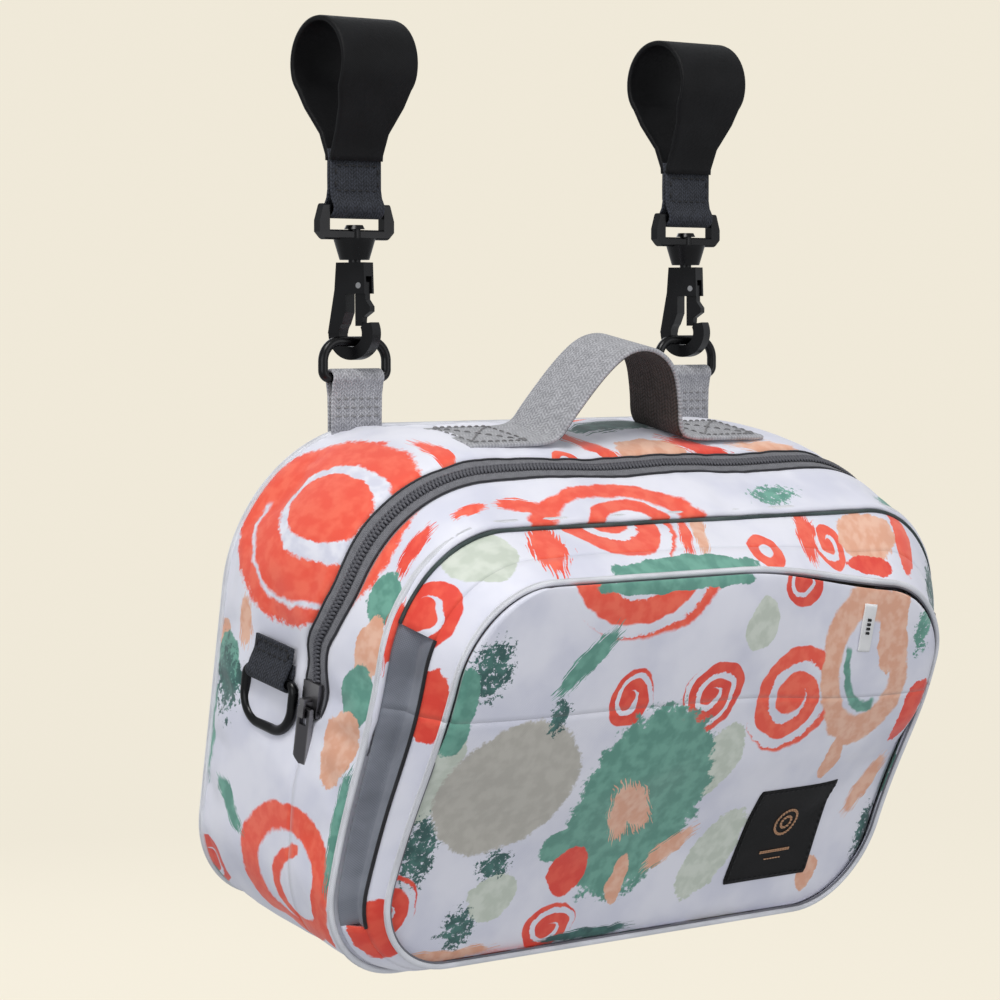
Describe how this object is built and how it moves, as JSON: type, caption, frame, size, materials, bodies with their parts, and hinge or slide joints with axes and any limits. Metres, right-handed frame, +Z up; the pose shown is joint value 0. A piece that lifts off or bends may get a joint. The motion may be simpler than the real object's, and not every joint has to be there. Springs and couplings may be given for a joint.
{
  "type": "stroller diaper bag",
  "caption": "Printed fabric diaper bag that hangs from a stroller handlebar on webbing loops, swivel hooks and D-rings, with a zipped fold-down front and an outer pocket.",
  "frame": {"origin": "on the axis of the stroller handlebar, midway between the two webbing loops", "axes": "+X along the handlebar, +Z up, +Y towards the stroller, away from the bag's front face; the bag leans 10.5 degrees about X"},
  "size_m": [0.3044, 0.1582, 0.3757],
  "materials": {
    "printed_fabric": "woven polyester, printed",
    "slate_fabric": "woven polyester",
    "grey_webbing": "flat woven webbing",
    "dark_webbing": "flat woven webbing",
    "black_webbing": "flat woven webbing",
    "hook_and_loop": "hook-and-loop tape",
    "black_plastic": "moulded acetal, satin gloss",
    "pin_steel": "plain",
    "zipper_tape": "zipper tape",
    "zipper_teeth": "nylon coil",
    "gunmetal": "plated zinc, polished",
    "white_binding": "covered piping cord",
    "lining_fabric": "woven lining",
    "elastic": "woven elastic",
    "board": "polypropylene sheet",
    "label": "smooth synthetic leather",
    "tag": "woven tag"
  },
  "bodies": {
    "stroller_loops": {"loop_left": "black_webbing", "loop_right": "black_webbing", "loop_fastener_left": "hook_and_loop", "loop_fastener_right": "hook_and_loop"},
    "bag": {"back_panel": "printed_fabric", "rear_gusset": "printed_fabric", "bottom_gusset": "printed_fabric", "front_panel_lower": "printed_fabric", "back_piping": "white_binding", "front_piping_lower": "white_binding", "zipper_tape_rear": "zipper_tape", "zipper_teeth_rear": "zipper_teeth", "zipper_end_left": "zipper_teeth", "zipper_end_right": "zipper_teeth", "pocket_side_lower_left": "slate_fabric", "pocket_side_lower_right": "slate_fabric", "pocket_bottom": "printed_fabric", "pocket_panel_lower": "printed_fabric", "pocket_piping_lower": "white_binding", "label_patch": "label", "lining_body": "lining_fabric", "base_board": "board", "inner_pocket": "lining_fabric", "inner_pocket_elastic": "elastic", "handle_end_left": "grey_webbing", "handle_end_right": "grey_webbing", "side_tab_left": "dark_webbing", "side_tab_right": "dark_webbing", "tab_left": "grey_webbing", "tab_right": "grey_webbing"},
    "lid": {"front_gusset": "printed_fabric", "front_panel_upper": "printed_fabric", "front_piping_upper": "white_binding", "zipper_tape_front": "zipper_tape", "zipper_teeth_front": "zipper_teeth", "lining_lid": "lining_fabric"},
    "pocket": {"pocket_band": "printed_fabric", "pocket_panel_upper": "printed_fabric", "pocket_piping_upper": "white_binding", "side_tag": "tag", "pocket_side_upper_left": "slate_fabric", "pocket_side_upper_right": "slate_fabric"},
    "slider": {"zipper_slider": "gunmetal"},
    "pull": {"zipper_pull": "gunmetal"},
    "handle": {"carry_handle": "grey_webbing"},
    "hanger_left": {"swivel_ring_left": "black_plastic", "back_dring_left": "black_plastic"},
    "hook_left": {"hook_left": "black_plastic", "gate_pin_left": "pin_steel"},
    "gate_left": {"gate_left": "black_plastic"},
    "side_ring_left": {"side_dring_left": "black_plastic"},
    "hanger_right": {"swivel_ring_right": "black_plastic", "back_dring_right": "black_plastic"},
    "hook_right": {"hook_right": "black_plastic", "gate_pin_right": "pin_steel"},
    "gate_right": {"gate_right": "black_plastic"},
    "side_ring_right": {"side_dring_right": "black_plastic"}
  },
  "joints": [
    {"name": "strap_swing_left", "type": "hinge", "parent": "stroller_loops", "child": "hanger_left", "pos_m": [-0.09, 0, -0.0575], "axis": [-1, 0, 0], "range_deg": [0, 45]},
    {"name": "strap_swing_right", "type": "hinge", "parent": "stroller_loops", "child": "hanger_right", "pos_m": [0.09, 0, -0.0575], "axis": [-1, 0, 0], "range_deg": [0, 45]},
    {"name": "bag_swing", "type": "hinge", "parent": "hanger_left", "child": "bag", "pos_m": [0, 0, -0.125], "axis": [-1, 0, 0], "range_deg": [0, 45]},
    {"name": "hook_swivel_left", "type": "hinge", "parent": "hanger_left", "child": "hook_left", "pos_m": [-0.09, 0, -0.074], "axis": [0, 0, 1], "range_deg": [-44, 4]},
    {"name": "gate_press_left", "type": "hinge", "parent": "hook_left", "child": "gate_left", "pos_m": [-0.08863, -0.00376, -0.0882], "axis": [0.9397, 0.342, 0], "range_deg": [0, 7.5], "stiffness_Nm_per_rad": 0.05},
    {"name": "hook_swivel_right", "type": "hinge", "parent": "hanger_right", "child": "hook_right", "pos_m": [0.09, 0, -0.074], "axis": [0, 0, 1], "range_deg": [-44, 4]},
    {"name": "gate_press_right", "type": "hinge", "parent": "hook_right", "child": "gate_right", "pos_m": [0.09137, -0.00376, -0.0882], "axis": [0.9397, 0.342, 0], "range_deg": [0, 7.5], "stiffness_Nm_per_rad": 0.05},
    {"name": "lid_fold", "type": "hinge", "parent": "bag", "child": "lid", "pos_m": [0, -0.10827, -0.24948], "axis": [1, 0, 0], "range_deg": [0, 60]},
    {"name": "pocket_open", "type": "hinge", "parent": "lid", "child": "pocket", "pos_m": [0, -0.10827, -0.24948], "axis": [1, 0, 0], "range_deg": [0, 20]},
    {"name": "slider_travel", "type": "slide", "parent": "bag", "child": "slider", "axis": [0, -0.1822, 0.9833], "range_m": [0, 0.021]},
    {"name": "pull_flip", "type": "hinge", "parent": "slider", "child": "pull", "pos_m": [-0.1484, -0.04669, -0.24976], "axis": [0, 0.9833, 0.1822], "range_deg": [0, 160]},
    {"name": "side_ring_flip_left", "type": "hinge", "parent": "bag", "child": "side_ring_left", "pos_m": [-0.1488, -0.02428, -0.239], "axis": [0, 0.9833, 0.1822], "range_deg": [0, 160]},
    {"name": "side_ring_flip_right", "type": "hinge", "parent": "bag", "child": "side_ring_right", "pos_m": [0.1488, -0.02428, -0.239], "axis": [0, -0.9833, -0.1822], "range_deg": [0, 160]},
    {"name": "handle_tip", "type": "hinge", "parent": "bag", "child": "handle", "pos_m": [0, -0.04166, -0.15069], "axis": [1, 0, 0], "range_deg": [-32, 32], "stiffness_Nm_per_rad": 0.05}
  ],
  "couplings": [
    {"joint": "strap_swing_right", "follows": "strap_swing_left", "ratio": 1}
  ]
}
